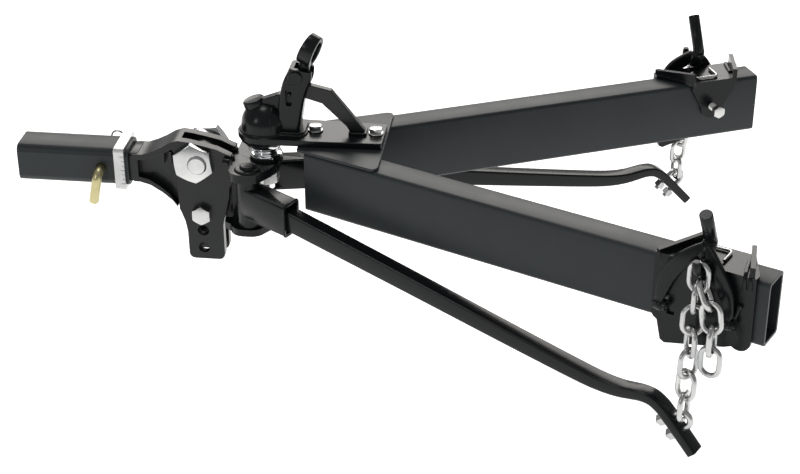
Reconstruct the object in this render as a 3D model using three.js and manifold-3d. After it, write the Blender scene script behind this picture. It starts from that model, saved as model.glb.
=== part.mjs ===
// Weight distribution hitch: cast shank and trunnion head, ball coupler on a cut A-frame,
// two spring bars, snap-up chain brackets. Millimetres, +X vehicle to trailer, +Z up,
// origin at the centre of the receiver tube's open end.
import * as THREE from 'three';
import { mergeVertices } from 'three/addons/utils/BufferGeometryUtils.js';
import Module from 'manifold-3d';

const wasm = await Module();
wasm.setup();

// ---------- driving dimensions ----------
const GAP = 0.3; // air between pieces that touch
const RECEIVER = 63.5; // 2.5 inch receiver tube, outside
const RECEIVER_WALL = 6.35;
const SHANK = RECEIVER - 2 * RECEIVER_WALL - 2 * GAP; // 2 inch class shank
const RECEIVER_END = 184; // trailer-side mouth of the receiver
const COLLAR_SIZE = 73;
const COLLAR_START = 162;
const COLLAR_LENGTH = 17;
const PIN_X = 139;
const PIN_R = 15.9 / 2;
const PIN_HOLE_R = PIN_R + 2 * GAP;
const CHEEK_Y = SHANK / 2; // outer face of the clevis cheeks
const CHEEK_THICK = 14;
const CLEVIS_HALF = CHEEK_Y - CHEEK_THICK;
const HOLE_X = 300; // drop-hole column
const HOLE_PITCH = 31.75;
const BOLT_R = 19.05 / 2;
const BOLT_Z = -77;
const PIVOT = { x: 299, z: 16 }; // tilt pivot of the head
const PIVOT_R = 16;
const CAM_OFFSET = { x: -8, z: -0.5 }; // hexagon centre from the pivot axis
const CAM_FLATS = 60;
const CAM_THICK = 11;
const CAM_TILT = -6.3; // degrees about Y
const PIVOT_NUT = { flats: 62, thick: 20, tilt: 27 };
const CHEEK_ROUND = { z: 2, radius: 57 }; // trailer-side rounding of the cheeks, about the pivot's x
const BALL_X = 405;
const BALL_R = 58.74 / 2; // 2 5/16 inch ball
const BALL_Z = 58;
const TRUNNION = { x: 384, y: 49 };
const HEAD_TOP = 20;
const HEAD_PLATE = 15;
const FLANGE_TOP = -78;
const FLANGE_BOTTOM = -90;
const BAR_ANGLE = THREE.MathUtils.degToRad(26);
const SOCKET_SLOPE = THREE.MathUtils.degToRad(7);
const SOCKET_WIDTH = 39;
const SOCKET_HEIGHT = 55;
const SOCKET_REACH = 84;
const BAR_WIDTH = 26;
const RAIL_ANGLE = THREE.MathUtils.degToRad(25);
const RAIL = { width: 50.8, height: 101.6, wall: 4.8, corner: 6 };
const RAIL_TOP = 55.2;
const RAIL_START = { x: 440, y: 36.4 }; // a point on the outer face line, distance 0 along the rail
const RAIL_END = 816; // distance along the rail
const NOSE_X = 476;
const SHEET = 6; // bracket sheet thickness
const GUSSET = 4.6;
const COUPLER_BASE = RAIL_TOP + 2 * GAP + GUSSET;
const COUPLER_FLANGE = 10;
const LINK = { wire: 8, inside: 20, length: 36.6, gap: 1.0 }; // length is measured inside
const HOOK = { s: 722, off: 26, z: 64, radius: 6 };
const BOW_R = 9.5 / 2;

// ---------- geometry helpers ----------
const vec = (x, y, z) => new THREE.Vector3(x, y, z);

function solid(geometry) {
  const bare = geometry.clone();
  bare.deleteAttribute('normal');
  bare.deleteAttribute('uv');
  const merged = mergeVertices(bare, 1e-4);
  return new wasm.Manifold(new wasm.Mesh({
    numProp: 3,
    vertProperties: new Float32Array(merged.attributes.position.array),
    triVerts: new Uint32Array(merged.index.array),
  }));
}

function geometryOf(manifold) {
  const mesh = manifold.getMesh();
  const geometry = new THREE.BufferGeometry();
  geometry.setAttribute('position', new THREE.BufferAttribute(new Float32Array(mesh.vertProperties), 3));
  geometry.setIndex(new THREE.BufferAttribute(new Uint32Array(mesh.triVerts), 1));
  geometry.computeVertexNormals();
  return geometry;
}

const union = (...parts) => parts.reduce((all, next) => all.add(next));
const cut = (body, ...tools) => tools.reduce((left, tool) => left.subtract(tool), body);

// points of an arc in a plane, angles in degrees
function arc(cx, cy, radius, from, to, steps) {
  const points = [];
  for (let i = 0; i <= steps; i += 1) {
    const angle = THREE.MathUtils.degToRad(from + ((to - from) * i) / steps);
    points.push([cx + radius * Math.cos(angle), cy + radius * Math.sin(angle)]);
  }
  return points;
}

function roundedRect(x0, y0, x1, y1, radius, steps = 3) {
  return [
    ...arc(x1 - radius, y0 + radius, radius, -90, 0, steps),
    ...arc(x1 - radius, y1 - radius, radius, 0, 90, steps),
    ...arc(x0 + radius, y1 - radius, radius, 90, 180, steps),
    ...arc(x0 + radius, y0 + radius, radius, 180, 270, steps),
  ];
}

// round every corner of a polygon by the radius given with it: [x, y, radius]
function filleted(corners, steps = 3) {
  const points = [];
  corners.forEach(([x, y, radius = 0], i) => {
    if (radius === 0) {
      points.push([x, y]);
      return;
    }
    const before = corners[(i + corners.length - 1) % corners.length];
    const after = corners[(i + 1) % corners.length];
    const corner = new THREE.Vector2(x, y);
    const back = new THREE.Vector2(before[0] - x, before[1] - y).normalize();
    const on = new THREE.Vector2(after[0] - x, after[1] - y).normalize();
    const half = Math.acos(THREE.MathUtils.clamp(back.dot(on), -1, 1)) / 2;
    const reach = radius / Math.tan(half);
    const start = corner.clone().addScaledVector(back, reach);
    const end = corner.clone().addScaledVector(on, reach);
    const middle = back.clone().add(on).normalize();
    const centre = corner.clone().addScaledVector(middle, radius / Math.sin(half));
    const a0 = Math.atan2(start.y - centre.y, start.x - centre.x);
    let a1 = Math.atan2(end.y - centre.y, end.x - centre.x);
    if (a1 - a0 > Math.PI) a1 -= 2 * Math.PI;
    if (a1 - a0 < -Math.PI) a1 += 2 * Math.PI;
    for (let k = 0; k <= steps; k += 1) {
      const angle = a0 + ((a1 - a0) * k) / steps;
      points.push([centre.x + radius * Math.cos(angle), centre.y + radius * Math.sin(angle)]);
    }
  });
  return points;
}

function outline(points) {
  return new THREE.Shape(points.map(([x, y]) => new THREE.Vector2(x, y)));
}

// plate lying in XY, from z0 to z1
function plateZ(points, z0, z1) {
  const geometry = new THREE.ExtrudeGeometry(outline(points), { depth: z1 - z0, bevelEnabled: false });
  geometry.translate(0, 0, z0);
  return solid(geometry);
}

// plate standing in XZ (points are x, z), from y0 to y1
function plateY(points, y0, y1) {
  const geometry = new THREE.ExtrudeGeometry(outline(points), { depth: y1 - y0, bevelEnabled: false });
  geometry.rotateX(Math.PI / 2);
  geometry.translate(0, y1, 0);
  return solid(geometry);
}

// bar along X with a section given as y, z points
function barX(points, x0, x1) {
  const geometry = new THREE.ExtrudeGeometry(outline(points), { depth: x1 - x0, bevelEnabled: false });
  geometry.applyMatrix4(new THREE.Matrix4().set(0, 0, 1, x0, 1, 0, 0, 0, 0, 1, 0, 0, 0, 0, 0, 1));
  return solid(geometry);
}

function boxBody(x0, y0, z0, x1, y1, z1) {
  const geometry = new THREE.BoxGeometry(x1 - x0, y1 - y0, z1 - z0);
  geometry.translate((x0 + x1) / 2, (y0 + y1) / 2, (z0 + z1) / 2);
  return solid(geometry);
}

// cylinder or cone frustum between two points
function roundBar(start, end, radius, sides = 20, endRadius = radius) {
  const length = start.distanceTo(end);
  const geometry = new THREE.CylinderGeometry(endRadius, radius, length, sides);
  const turn = new THREE.Quaternion().setFromUnitVectors(vec(0, 1, 0), end.clone().sub(start).normalize());
  geometry.applyQuaternion(turn);
  geometry.translate((start.x + end.x) / 2, (start.y + end.y) / 2, (start.z + end.z) / 2);
  return solid(geometry);
}

const hexBar = (start, end, flats) => roundBar(start, end, flats / Math.sqrt(3), 6);

// solid swept along points; size gives the half width and half depth at each point
function sweptGeometry(points, size, sides, closed = false, side = null) {
  const count = points.length;
  const positions = [];
  let normal = side ? side.clone() : null;
  for (let i = 0; i < count; i += 1) {
    const before = points[closed ? (i + count - 1) % count : Math.max(i - 1, 0)];
    const after = points[closed ? (i + 1) % count : Math.min(i + 1, count - 1)];
    const along = after.clone().sub(before).normalize();
    if (!normal) normal = Math.abs(along.z) < 0.9 ? vec(0, 0, 1) : vec(1, 0, 0);
    normal.addScaledVector(along, -normal.dot(along)).normalize();
    const across = along.clone().cross(normal);
    const [a, b] = size(i / (count - 1));
    for (let k = 0; k < sides; k += 1) {
      const angle = (2 * Math.PI * (k + 0.5)) / sides;
      const p = points[i].clone();
      p.addScaledVector(normal, a * Math.cos(angle));
      p.addScaledVector(across, b * Math.sin(angle));
      positions.push(p.x, p.y, p.z);
    }
  }
  const index = [];
  const rings = closed ? count : count - 1;
  for (let i = 0; i < rings; i += 1) {
    const j = (i + 1) % count;
    for (let k = 0; k < sides; k += 1) {
      const m = (k + 1) % sides;
      index.push(i * sides + k, i * sides + m, j * sides + k);
      index.push(i * sides + m, j * sides + m, j * sides + k);
    }
  }
  if (!closed) {
    const last = (count - 1) * sides;
    for (let k = 1; k < sides - 1; k += 1) {
      index.push(0, k + 1, k);
      index.push(last, last + k, last + k + 1);
    }
  }
  const geometry = new THREE.BufferGeometry();
  geometry.setAttribute('position', new THREE.Float32BufferAttribute(positions, 3));
  geometry.setIndex(index);
  return geometry;
}

const rod = (points, radius, sides = 8, closed = false) =>
  solid(sweptGeometry(points, () => [radius, radius], sides, closed));

// smooth run of points through the given ones
function curve(points, steps) {
  return new THREE.CatmullRomCurve3(points, false, 'centripetal').getPoints(steps);
}

// ---------- frames that follow the rails and the bars ----------
function lineFrame(start, angle, side) {
  const along = vec(Math.cos(angle), side * Math.sin(angle), 0);
  const out = vec(-Math.sin(angle), side * Math.cos(angle), 0);
  const origin = vec(start.x, side * start.y, 0);
  const at = (s, off, z) => origin.clone().addScaledVector(along, s).addScaledVector(out, off).setZ(z);
  return { along, out, at, side };
}

const railFrame = (side) => lineFrame(RAIL_START, RAIL_ANGLE, side);
const barFrame = (side) => lineFrame(TRUNNION, BAR_ANGLE, side);

// move a body built with x = along, y = outward, z = up into a frame
function placed(body, frame) {
  const { along, out } = frame;
  const origin = frame.at(0, 0, 0);
  const mirrored = frame.side < 0;
  const source = mirrored ? body.mirror([0, 1, 0]) : body;
  const flip = mirrored ? -1 : 1;
  return source.transform([
    along.x, along.y, 0, 0,
    flip * out.x, flip * out.y, 0, 0,
    0, 0, 1, 0,
    origin.x, origin.y, 0, 1,
  ]);
}

// ---------- receiver end ----------
function receiverTube() {
  const half = RECEIVER / 2;
  const inner = half - RECEIVER_WALL;
  const tube = cut(
    barX(roundedRect(-half, -half, half, half, 11), 0, RECEIVER_END),
    barX(roundedRect(-inner, -inner, inner, inner, 4), -1, RECEIVER_END + 1),
  );
  return cut(tube, roundBar(vec(PIN_X, -half - 1, 0), vec(PIN_X, half + 1, 0), PIN_HOLE_R, 16));
}

function receiverCollar() {
  const half = COLLAR_SIZE / 2;
  const inner = RECEIVER / 2 + GAP;
  const end = COLLAR_START + COLLAR_LENGTH;
  const ring = cut(
    barX(roundedRect(-half, -half, half, half, 5), COLLAR_START, end),
    barX(roundedRect(-inner, -inner, inner, inner, 11), COLLAR_START - 1, end + 1),
  );
  const notches = [];
  for (let i = -3; i <= 3; i += 1) {
    const z = i * 8;
    const depth = i % 3 === 0 ? 7 : 4;
    notches.push(boxBody(end - depth, -half - 1, z - 0.6, end + 1, -half + 0.7, z + 0.6));
  }
  return cut(ring, ...notches);
}

function shankCasting() {
  const half = SHANK / 2;
  const bar = barX(roundedRect(-half, -half, half, half, 3.6, 2), 14, RECEIVER_END + 14);
  const neck = plateY([
    [190, -25], [200, -25], [217, -30], [236, -42], [252, -56], [264, -73], [271, -93], [274, -112],
    ...arc(284, -152, 9.5, 180, 270, 3), ...arc(324.5, -152, 9.5, 270, 360, 3),
    [334, -97], [340, -70], [346, -44],
    ...arc(PIVOT.x, CHEEK_ROUND.z, CHEEK_ROUND.radius, -33, 8, 4),
    [352, 29], [329, 40], [303, 46], [283, 50], [266, 52], [252, 47], [236, 37], [222, 30], [206, 24], [190, 24],
  ], -CHEEK_Y, CHEEK_Y);
  const panel = [
    [198, -16], [216, -21], [233, -32], [247, -45], [258, -62], [263, -76], [262, -40],
    [264, -8], [262, 26], [256, 36], [234, 24], [206, 15], [198, 14],
  ];
  const depth = 15;
  const panels = [
    plateY(panel, -CHEEK_Y - 1, -CHEEK_Y + depth),
    plateY(panel, CHEEK_Y - depth, CHEEK_Y + 1),
  ];
  const ribs = [];
  for (const side of [-1, 1]) {
    const inner = side * (CHEEK_Y - depth - 1);
    const outer = side * (CHEEK_Y - 3);
    for (const x of [240, 252]) {
      ribs.push(boxBody(x - 2, Math.min(inner, outer), 8, x + 2, Math.max(inner, outer), 30));
    }
  }
  const slot = plateY([
    [286, -170], [286, -110], [278, -80], [268, -40], [262, -8], [262, 20], [275, 70], [380, 70], [380, -170],
  ], -CLEVIS_HALF, CLEVIS_HALF);
  const holes = [0, 1, 2].map((i) => {
    const z = BOLT_Z - i * HOLE_PITCH;
    return roundBar(vec(HOLE_X, -40, z), vec(HOLE_X, 40, z), BOLT_R + GAP, 16);
  });
  const pivotHole = roundBar(vec(PIVOT.x, -40, PIVOT.z), vec(PIVOT.x, 40, PIVOT.z), PIVOT_R + GAP, 20);
  const pinHole = roundBar(vec(PIN_X, -40, 0), vec(PIN_X, 40, 0), PIN_HOLE_R, 16);
  return cut(union(bar, cut(neck, ...panels), ...ribs), slot, pivotHole, pinHole, ...holes);
}

function hitchPin() {
  const far = RECEIVER / 2 + 17;
  const bend = 13;
  const near = -RECEIVER / 2 - 9;
  const lean = 0.2;
  const points = [vec(PIN_X, far, 0), vec(PIN_X, near, 0)];
  for (let i = 1; i <= 4; i += 1) {
    const angle = (i / 4) * (Math.PI / 2);
    const drop = bend * (1 - Math.cos(angle));
    points.push(vec(PIN_X - drop * lean, near - bend * Math.sin(angle), -drop));
  }
  points.push(vec(PIN_X - 52 * lean, near - bend, -52));
  const clipY = RECEIVER / 2 + 10;
  return cut(rod(points, PIN_R, 12), roundBar(vec(PIN_X, clipY, -12), vec(PIN_X, clipY, 12), 2.2, 8));
}

function pinClip() {
  const y = RECEIVER / 2 + 10;
  const loop = 10.2; // radius of the eye, which stays short of the collar
  const eye = arc(PIN_X + loop, 22, loop, 180, -76, 8).map(([x, z]) => vec(x, y, z));
  const points = [
    vec(PIN_X, y, -17), vec(PIN_X, y, 14), ...eye, vec(PIN_X + 12.5, y, 4), vec(PIN_X + 15, y, -12),
  ];
  return rod(points, 1.6, 6);
}

// ---------- head ----------
function cam(side) {
  const inner = side * (CHEEK_Y + GAP);
  const outer = inner + side * CAM_THICK;
  const x = PIVOT.x + CAM_OFFSET.x;
  const z = PIVOT.z + CAM_OFFSET.z;
  const hexagon = hexBar(vec(0, inner, 0), vec(0, outer, 0), CAM_FLATS).rotate([0, CAM_TILT, 0]).translate([x, 0, z]);
  const chamfer = roundBar(vec(x, inner, z), vec(x, outer + side * 0.1, z), CAM_FLATS * 0.62, 24, CAM_FLATS * 0.55);
  const bore = roundBar(vec(PIVOT.x, -60, PIVOT.z), vec(PIVOT.x, 60, PIVOT.z), PIVOT_R + GAP, 20);
  return cut(hexagon.intersect(chamfer), bore);
}

function pivotBolt() {
  const near = -(CHEEK_Y + GAP + CAM_THICK + 5); // stands a little proud of the near cam
  const far = CHEEK_Y + 2 * GAP + CAM_THICK + PIVOT_NUT.thick + 6;
  const shaft = roundBar(vec(PIVOT.x, near + 2, PIVOT.z), vec(PIVOT.x, far, PIVOT.z), PIVOT_R, 20);
  const dome = roundBar(vec(PIVOT.x, near + 2, PIVOT.z), vec(PIVOT.x, near, PIVOT.z), PIVOT_R, 20, PIVOT_R - 2.5);
  return union(shaft, dome);
}

function pivotNut() {
  const start = CHEEK_Y + 2 * GAP + CAM_THICK;
  const nut = hexBar(vec(0, start, 0), vec(0, start + PIVOT_NUT.thick, 0), PIVOT_NUT.flats)
    .rotate([0, PIVOT_NUT.tilt, 0]).translate([PIVOT.x, 0, PIVOT.z]);
  return cut(nut, roundBar(vec(PIVOT.x, 0, PIVOT.z), vec(PIVOT.x, 90, PIVOT.z), PIVOT_R + GAP, 20));
}

function dropBolt() {
  const near = -(CHEEK_Y + GAP);
  const head = hexBar(vec(HOLE_X, near - 12, BOLT_Z), vec(HOLE_X, near, BOLT_Z), 28.6);
  const trim = roundBar(vec(HOLE_X, near - 12.1, BOLT_Z), vec(HOLE_X, near, BOLT_Z), 15, 24, 19);
  const shaft = roundBar(vec(HOLE_X, near - 1, BOLT_Z), vec(HOLE_X, CHEEK_Y + 24, BOLT_Z), BOLT_R, 16);
  return union(head.intersect(trim), shaft);
}

function dropNut() {
  const start = CHEEK_Y + GAP;
  const nut = hexBar(vec(HOLE_X, start, BOLT_Z), vec(HOLE_X, start + 16, BOLT_Z), 28.6);
  return cut(nut, roundBar(vec(HOLE_X, 0, BOLT_Z), vec(HOLE_X, 80, BOLT_Z), BOLT_R + GAP, 16));
}

// outline shared by the top plate and the lower flange
function headOutline(front) {
  const ear = 23; // rounding round each trunnion
  const side = [
    [front, 20], [342, 46], ...arc(TRUNNION.x - 8, TRUNNION.y, ear, 165, 90, 4),
    ...arc(TRUNNION.x + 4, TRUNNION.y, ear, 90, 25, 4), [419, 43], [429, 20],
  ];
  return [
    ...side.map(([x, y]) => [x, -y]),
    ...side.reverse(),
  ];
}

function headCasting() {
  const half = CLEVIS_HALF - GAP;
  const plate = plateZ(headOutline(330), HEAD_TOP - HEAD_PLATE, HEAD_TOP);
  const flange = plateZ(headOutline(338), FLANGE_BOTTOM, FLANGE_TOP);
  const trunk = plateZ(filleted([[338, -22, 0], [366, -22, 8], [372, -8, 0], [372, 8, 0], [366, 22, 8], [338, 22, 0]]),
    FLANGE_BOTTOM + 1, HEAD_TOP - 1);
  const clearCheek = cut(
    plateY(arc(PIVOT.x, CHEEK_ROUND.z, CHEEK_ROUND.radius + 1.5, 0, 360, 28), -80, 80).subtract(boxBody(0, -half, -300, 500, half, 300)),
    boxBody(0, -200, 59, 800, 200, 300),
  );
  const clearLeg = boxBody(200, -30, -300, 351, -half, -25).add(boxBody(200, half, -300, 351, 30, -25));
  const tongue = plateY([
    ...arc(PIVOT.x, PIVOT.z, 26, 60, 200, 7),
    [276, -50],
    ...arc(HOLE_X, BOLT_Z, 21, 180, 290, 5),
    [345, -84], [350, -60], [350, 18],
  ], -half, half);
  const ballPad = roundBar(vec(BALL_X, 0, HEAD_TOP - 1), vec(BALL_X, 0, HEAD_TOP + 3), 27, 24);
  const pads = [-1, 1].map((side) =>
    roundBar(vec(TRUNNION.x, side * TRUNNION.y, HEAD_TOP - 1), vec(TRUNNION.x, side * TRUNNION.y, HEAD_TOP + 3), 19, 20));
  const shell = cut(union(plate, flange, trunk), clearCheek, clearLeg);
  const body = union(shell, tongue, ballPad, ...pads);
  const bores = [-1, 1].map((side) =>
    roundBar(vec(TRUNNION.x, side * TRUNNION.y, -100), vec(TRUNNION.x, side * TRUNNION.y, 30), 9.5 + GAP, 16));
  return cut(
    body,
    roundBar(vec(BALL_X, 0, -50), vec(BALL_X, 0, 50), 12.7 + GAP, 20),
    roundBar(vec(PIVOT.x, -50, PIVOT.z), vec(PIVOT.x, 50, PIVOT.z), PIVOT_R + GAP, 20),
    roundBar(vec(HOLE_X, -50, BOLT_Z), vec(HOLE_X, 50, BOLT_Z), BOLT_R + GAP, 16),
    ...bores,
  );
}

function turned(profile, sides = 24) {
  const geometry = new THREE.LatheGeometry(profile.map(([r, z]) => new THREE.Vector2(r, z)), sides);
  geometry.rotateX(Math.PI / 2);
  return solid(geometry);
}

function hitchBall() {
  const base = HEAD_TOP + 3 + GAP;
  const neck = 17;
  const join = -Math.asin(Math.sqrt(1 - (neck / BALL_R) ** 2)) * 180 / Math.PI;
  const sphere = arc(0, BALL_Z, BALL_R, join, 82, 9);
  const profile = [[0, -34], [12.7, -34], [12.7, base], [26, base], [26, base + 5], [18.5, base + 7],
    ...sphere, [0, BALL_Z + BALL_R * Math.sin(THREE.MathUtils.degToRad(82))]];
  return turned(profile, 20).translate([BALL_X, 0, 0]);
}

function ballWasher() {
  const top = HEAD_TOP - HEAD_PLATE - GAP;
  return cut(
    roundBar(vec(BALL_X, 0, top - 4), vec(BALL_X, 0, top), 21, 24),
    roundBar(vec(BALL_X, 0, -20), vec(BALL_X, 0, 20), 12.7 + GAP, 20),
  );
}

function ballNut() {
  const top = HEAD_TOP - HEAD_PLATE - 2 * GAP - 4;
  return cut(
    hexBar(vec(BALL_X, 0, top - 23), vec(BALL_X, 0, top), 37),
    roundBar(vec(BALL_X, 0, -50), vec(BALL_X, 0, 20), 12.7 + GAP, 20),
  );
}

function trunnionPin(side) {
  const x = TRUNNION.x;
  const y = side * TRUNNION.y;
  const shaft = roundBar(vec(x, y, FLANGE_BOTTOM - 6), vec(x, y, HEAD_TOP + 4), 9.5, 16);
  const head = roundBar(vec(x, y, HEAD_TOP + 3 + GAP), vec(x, y, HEAD_TOP + 7), 13, 16, 11);
  return union(shaft, head);
}

// ---------- sockets and bars ----------
function socket(side) {
  const half = SOCKET_WIDTH / 2;
  const wall = 4.2;
  const inner = half - wall;
  const middle = -33.5;
  const low = middle - SOCKET_HEIGHT / 2;
  const high = middle + SOCKET_HEIGHT / 2;
  const lean = (s, z) => [s, z - s * Math.tan(SOCKET_SLOPE)];
  const body = plateY([lean(-2, low), lean(SOCKET_REACH, low), lean(SOCKET_REACH, high), lean(-2, high)], -half, half);
  const rounding = placedSection(roundedRect(-half, low, half, high, 6, 2), -4, SOCKET_REACH + 2, SOCKET_SLOPE);
  const barrel = roundBar(vec(0, 0, FLANGE_TOP + 1), vec(0, 0, HEAD_TOP - HEAD_PLATE - 1), half, 24);
  const mouth = placedSection(
    roundedRect(-inner, low + wall, inner, high - wall, 3, 2), 20, SOCKET_REACH + 4, SOCKET_SLOPE);
  const bore = roundBar(vec(0, 0, -100), vec(0, 0, 30), 9.5 + GAP, 16);
  return placed(cut(union(body.intersect(rounding), barrel), mouth, bore), barFrame(side));
}

// section in y, z pushed along s and sheared downwards by a slope
function placedSection(points, s0, s1, slope) {
  return barX(points, s0, s1).transform([1, 0, -Math.tan(slope), 0, 0, 1, 0, 0, 0, 0, 1, 0, 0, 0, 0, 1]);
}

// stations of a spring bar: distance from the trunnion, height of the centre line, half height
const BAR_LINE = [
  [24, -34, 16.6], [100, -49, 16.2], [300, -88, 14.4], [480, -124, 12.6], [600, -147, 11.4], [642, -153, 10.4],
  [670, -153.5, 9.4], [690, -151, 8.8], [706, -149, 8.4], [722, -150.5, 8.2], [736, -158, 8], [750, -171, 7.8],
  [794, -219, 7.5],
];

function springBar(side) {
  const steps = BAR_LINE.length;
  const points = BAR_LINE.map(([s, z]) => vec(s, 0, z));
  const positions = [];
  const corner = 3;
  for (let i = 0; i < steps; i += 1) {
    const before = points[Math.max(i - 1, 0)];
    const after = points[Math.min(i + 1, steps - 1)];
    const along = after.clone().sub(before).normalize();
    const up = vec(-along.z, 0, along.x);
    const h = BAR_LINE[i][2];
    const w = BAR_WIDTH / 2;
    const section = [
      [-w + corner, -h], [w - corner, -h], [w, -h + corner], [w, h - corner],
      [w - corner, h], [-w + corner, h], [-w, h - corner], [-w, -h + corner],
    ];
    for (const [y, z] of section) {
      const p = points[i].clone().addScaledVector(up, z);
      positions.push(p.x, y, p.z);
    }
  }
  const index = [];
  const sides = 8;
  for (let i = 0; i < steps - 1; i += 1) {
    for (let k = 0; k < sides; k += 1) {
      const m = (k + 1) % sides;
      index.push(i * sides + k, i * sides + m, (i + 1) * sides + k);
      index.push(i * sides + m, (i + 1) * sides + m, (i + 1) * sides + k);
    }
  }
  const last = (steps - 1) * sides;
  for (let k = 1; k < sides - 1; k += 1) {
    index.push(0, k + 1, k);
    index.push(last, last + k, last + k + 1);
  }
  const geometry = new THREE.BufferGeometry();
  geometry.setAttribute('position', new THREE.Float32BufferAttribute(positions, 3));
  geometry.setIndex(index);
  const body = solid(geometry);
  const { foot, up } = uBoltSeat();
  const along = vec(up.z, 0, -up.x);
  const holes = [-1, 1].map((k) => {
    const leg = foot.clone().addScaledVector(along, k * UBOLT_HALF);
    return roundBar(leg.clone().addScaledVector(up, -30), leg.clone().addScaledVector(up, 30), BOW_R + GAP, 10);
  });
  return placed(cut(body, ...holes), barFrame(side));
}

// ---------- U-bolts ----------
const UBOLT_HALF = 12.4;
const UBOLT_PLACE = 0.22; // part of the way down the bar's last straight
const UBOLT_RISE = 15; // straight legs above the bar centre line
const BOW_PLAY = 2.4; // air between the bow and the last link

function uBoltSeat() {
  const [start, end] = BAR_LINE.slice(-2).map(([s, z]) => vec(s, 0, z));
  const along = end.clone().sub(start).normalize();
  return { foot: start.lerp(end, UBOLT_PLACE), up: vec(-along.z, 0, along.x) };
}

function uBolt(side) {
  const { foot, up } = uBoltSeat();
  const along = vec(up.z, 0, -up.x);
  const at = (a, b) => foot.clone().addScaledVector(along, a).addScaledVector(up, b);
  const points = [at(-UBOLT_HALF, -25), at(-UBOLT_HALF, UBOLT_RISE)];
  for (const [x, z] of arc(0, UBOLT_RISE, UBOLT_HALF, 180, 0, 8).slice(1, -1)) points.push(at(x, z));
  points.push(at(UBOLT_HALF, UBOLT_RISE), at(UBOLT_HALF, -25));
  const nuts = [-1, 1].map((k) => hexBar(at(k * UBOLT_HALF, -20), at(k * UBOLT_HALF, -9), 17));
  return placed(union(rod(points, BOW_R, 8), ...nuts), barFrame(side));
}

// where the last link's lower bend sits under the bow
function bowSeat(side) {
  const { foot, up } = uBoltSeat();
  const p = foot.clone().addScaledVector(up, UBOLT_RISE);
  p.z += UBOLT_HALF - BOW_R - BOW_PLAY;
  return barFrame(side).at(p.x, p.y, p.z);
}

// ---------- A-frame ----------
function rail(side) {
  const { width, height, wall, corner } = RAIL;
  const outer = roundedRect(-width, RAIL_TOP - height, 0, RAIL_TOP, corner);
  const inner = roundedRect(-width + wall, RAIL_TOP - height + wall, -wall, RAIL_TOP - wall, corner - wall + 1.5, 1);
  const tube = placed(cut(barX(outer, -60, RAIL_END), barX(inner, -61, RAIL_END + 1)), railFrame(side));
  const keep = side < 0
    ? boxBody(NOSE_X, -600, -200, 1500, -GAP / 2, 200)
    : boxBody(NOSE_X, GAP / 2, -200, 1500, 600, 200);
  return tube.intersect(keep);
}

function gussetPlate() {
  const edge = (x) => RAIL_START.y + (x - RAIL_START.x) * Math.tan(RAIL_ANGLE) - 1;
  const front = NOSE_X - 12;
  const rear = NOSE_X + 124;
  const bottom = RAIL_TOP + GAP;
  return plateZ(filleted([
    [front, -edge(front + 6), 4], [rear, -edge(rear), 9], [rear, edge(rear), 9], [front, edge(front + 6), 4],
  ]), bottom, bottom + GUSSET);
}

const DOME_R = 37.5;

function couplerCasting() {
  const base = COUPLER_BASE + GAP;
  const top = base + COUPLER_FLANGE;
  const rear = NOSE_X + 122;
  const flange = plateZ([
    ...arc(BALL_X, 0, 43, 80, 280, 14),
    [470, -41], ...arc(rear - 5, -32, 5, -90, 0, 2), ...arc(rear - 5, 32, 5, 0, 90, 2), [470, 41],
  ], base, top);
  const skirt = turned([[0, base - 7], [39, base - 7], [41, base + 2], [40.5, top], [38, top + 3], [DOME_R, top + 10],
    ...arc(0, top + 10, DOME_R, 8, 82, 5), [0, top + 10 + DOME_R]], 20).translate([BALL_X, 0, 0]);
  const tower = plateY([
    [424, top - 2], [462, top - 2], [469, top + 30], [488, top + 104], [485, top + 110], [448, top + 110],
    [441, top + 92], [431, top + 66], [426, top + 40],
  ], -19, 19);
  const web = plateY([[398, top + 40], [398, top + 51], [431, top + 63], [436, top + 60], [436, top], [420, top]], -8, 8);
  const lugs = plateY(filleted([
    [446, top + 88, 2], [468, top + 88, 2], [472, top + 108, 6], [450, top + 109, 8],
  ]), -23, 23);
  const collar = plateZ(filleted([[424, -25, 10], [473, -25, 10], [473, 25, 10], [424, 25, 10]]), top - 2, top + 6);
  const strap = plateY([
    [474, top + 82], [514, top + 73], [566, top + 8], [570, top - 1], [545, top - 1], [538, top + 12],
    [499, top + 50], [472, top + 58],
  ], -6, 6);
  const foot = plateZ(filleted([[541, -13, 4], [570, -13, 4], [570, 13, 4], [541, 13, 4]]), top - 1, top + 5);
  const capAxis = vec(-0.298, 0, 0.954).normalize();
  const capTop = vec(387.6, 0, top + 50.6);
  const along = (h) => capTop.clone().addScaledVector(capAxis, h);
  const cap = roundBar(along(-26), along(-2), 17.2, 18, 17.8);
  const capEdge = roundBar(along(-2.1), along(0), 17.8, 18, 15.5);
  const hollow = turned([[0, base - 30], [BALL_R + 1.8, base - 30], ...arc(0, BALL_Z, BALL_R + 1.8, 0, 84, 6),
    [0, BALL_Z + BALL_R + 1.8]], 20).translate([BALL_X, 0, 0]);
  const recesses = [-1, 1].map((side) => boxBody(444, Math.min(side * 12, side * 20), top + 50,
    453, Math.max(side * 12, side * 20), top + 76));
  const handleSlot = boxBody(455, -11, top + 78, 500, 11, top + 120);
  const bolts = COUPLER_BOLTS.map((x) => roundBar(vec(x, 0, base - 5), vec(x, 0, top + 10), 6.4 + GAP, 12));
  const body = union(flange, skirt, tower, web, collar, strap, foot, cap, capEdge, lugs);
  return cut(body, hollow, handleSlot, ...recesses, ...bolts);
}

const COUPLER_BOLTS = [NOSE_X + 11, NOSE_X + 108];

const LOOP_TURN = THREE.MathUtils.degToRad(14);
const LOOP = { centre: 46, half: 22, across: 17 }; // along the stem and across it

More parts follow.
